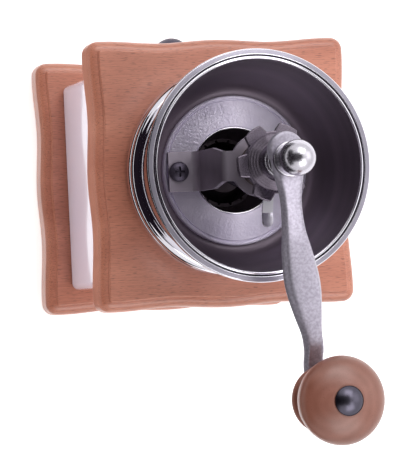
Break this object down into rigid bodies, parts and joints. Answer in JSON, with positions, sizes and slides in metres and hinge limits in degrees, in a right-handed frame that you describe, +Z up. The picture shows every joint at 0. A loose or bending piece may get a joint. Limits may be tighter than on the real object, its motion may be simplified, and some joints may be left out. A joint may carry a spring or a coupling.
{
  "type": "manual coffee grinder",
  "caption": "Hand-cranked coffee grinder: glazed ceramic body between wavy beech boards, pull-out drawer, open chrome hopper, star nut and curved crank with a wooden knob.",
  "frame": {"origin": "centre of the base board's underside, on the surface that the grinder stands on", "axes": "+Z up along the drive shaft, -Y out of the drawer front, +X to the drawer's left as seen from behind"},
  "size_m": [0.11, 0.1716, 0.2009],
  "materials": {
    "beech": "stained and satin lacquered",
    "pale_beech": "bare and sanded",
    "glaze": "gloss white ceramic glaze",
    "chrome": "polished chrome plate",
    "casting": "matte sand-cast",
    "dark_steel": "dark satin steel",
    "bright_steel": "bright zinc-plated steel",
    "burr_steel": "hardened dark steel",
    "brass": "turned brass"
  },
  "bodies": {
    "stand": {"base_board": "beech", "ceramic_body": "glaze", "top_board": "beech", "tie_screws": "bright_steel", "tie_inserts": "brass", "drawer_runners": "pale_beech", "hopper_shell": "chrome", "hopper_bowl": "chrome", "hopper_plate": "casting", "burr_housing": "casting", "outer_burr": "burr_steel", "lower_bridge": "casting", "bridge_screws": "bright_steel", "lower_bush": "brass", "bracket": "dark_steel", "bracket_screws": "dark_steel", "upper_bush": "brass"},
    "turntable": {"index_plate": "bright_steel"},
    "adjuster": {"star_nut": "chrome"},
    "spindle": {"shaft": "bright_steel", "inner_burr": "burr_steel", "burr_washer": "bright_steel", "burr_nut": "bright_steel", "spring_seat": "bright_steel", "shaft_spring": "bright_steel", "spacer_collar": "chrome", "crank_arm": "casting", "acorn_nut": "chrome", "knob_washer": "bright_steel", "knob_rivet": "dark_steel"},
    "grip": {"knob": "beech"},
    "drawer": {"drawer_front": "beech", "drawer_box": "pale_beech", "drawer_floor": "pale_beech", "drawer_knob": "chrome", "drawer_knob_screw": "bright_steel"}
  },
  "joints": [
    {"name": "crank_turn", "type": "hinge", "parent": "stand", "child": "turntable", "pos_m": [0, 0, 0.156], "axis": [0, 0, 1], "continuous": true},
    {"name": "grind_adjust", "type": "hinge", "parent": "turntable", "child": "adjuster", "pos_m": [0, 0, 0.158], "axis": [0, 0, 1], "range_deg": [-200, 200]},
    {"name": "burr_lift", "type": "slide", "parent": "turntable", "child": "spindle", "axis": [0, 0, 1], "range_m": [-0.0005, 0.0005]},
    {"name": "knob_spin", "type": "hinge", "parent": "spindle", "child": "grip", "pos_m": [-0.01418, 0.09212, 0.18], "axis": [0, 0, 1], "continuous": true},
    {"name": "drawer_pull", "type": "slide", "parent": "stand", "child": "drawer", "axis": [0, -1, 0], "range_m": [0, 0.06]}
  ],
  "couplings": [
    {"joint": "grind_adjust", "follows": "burr_lift", "rad_per_m": -6283.2}
  ]
}
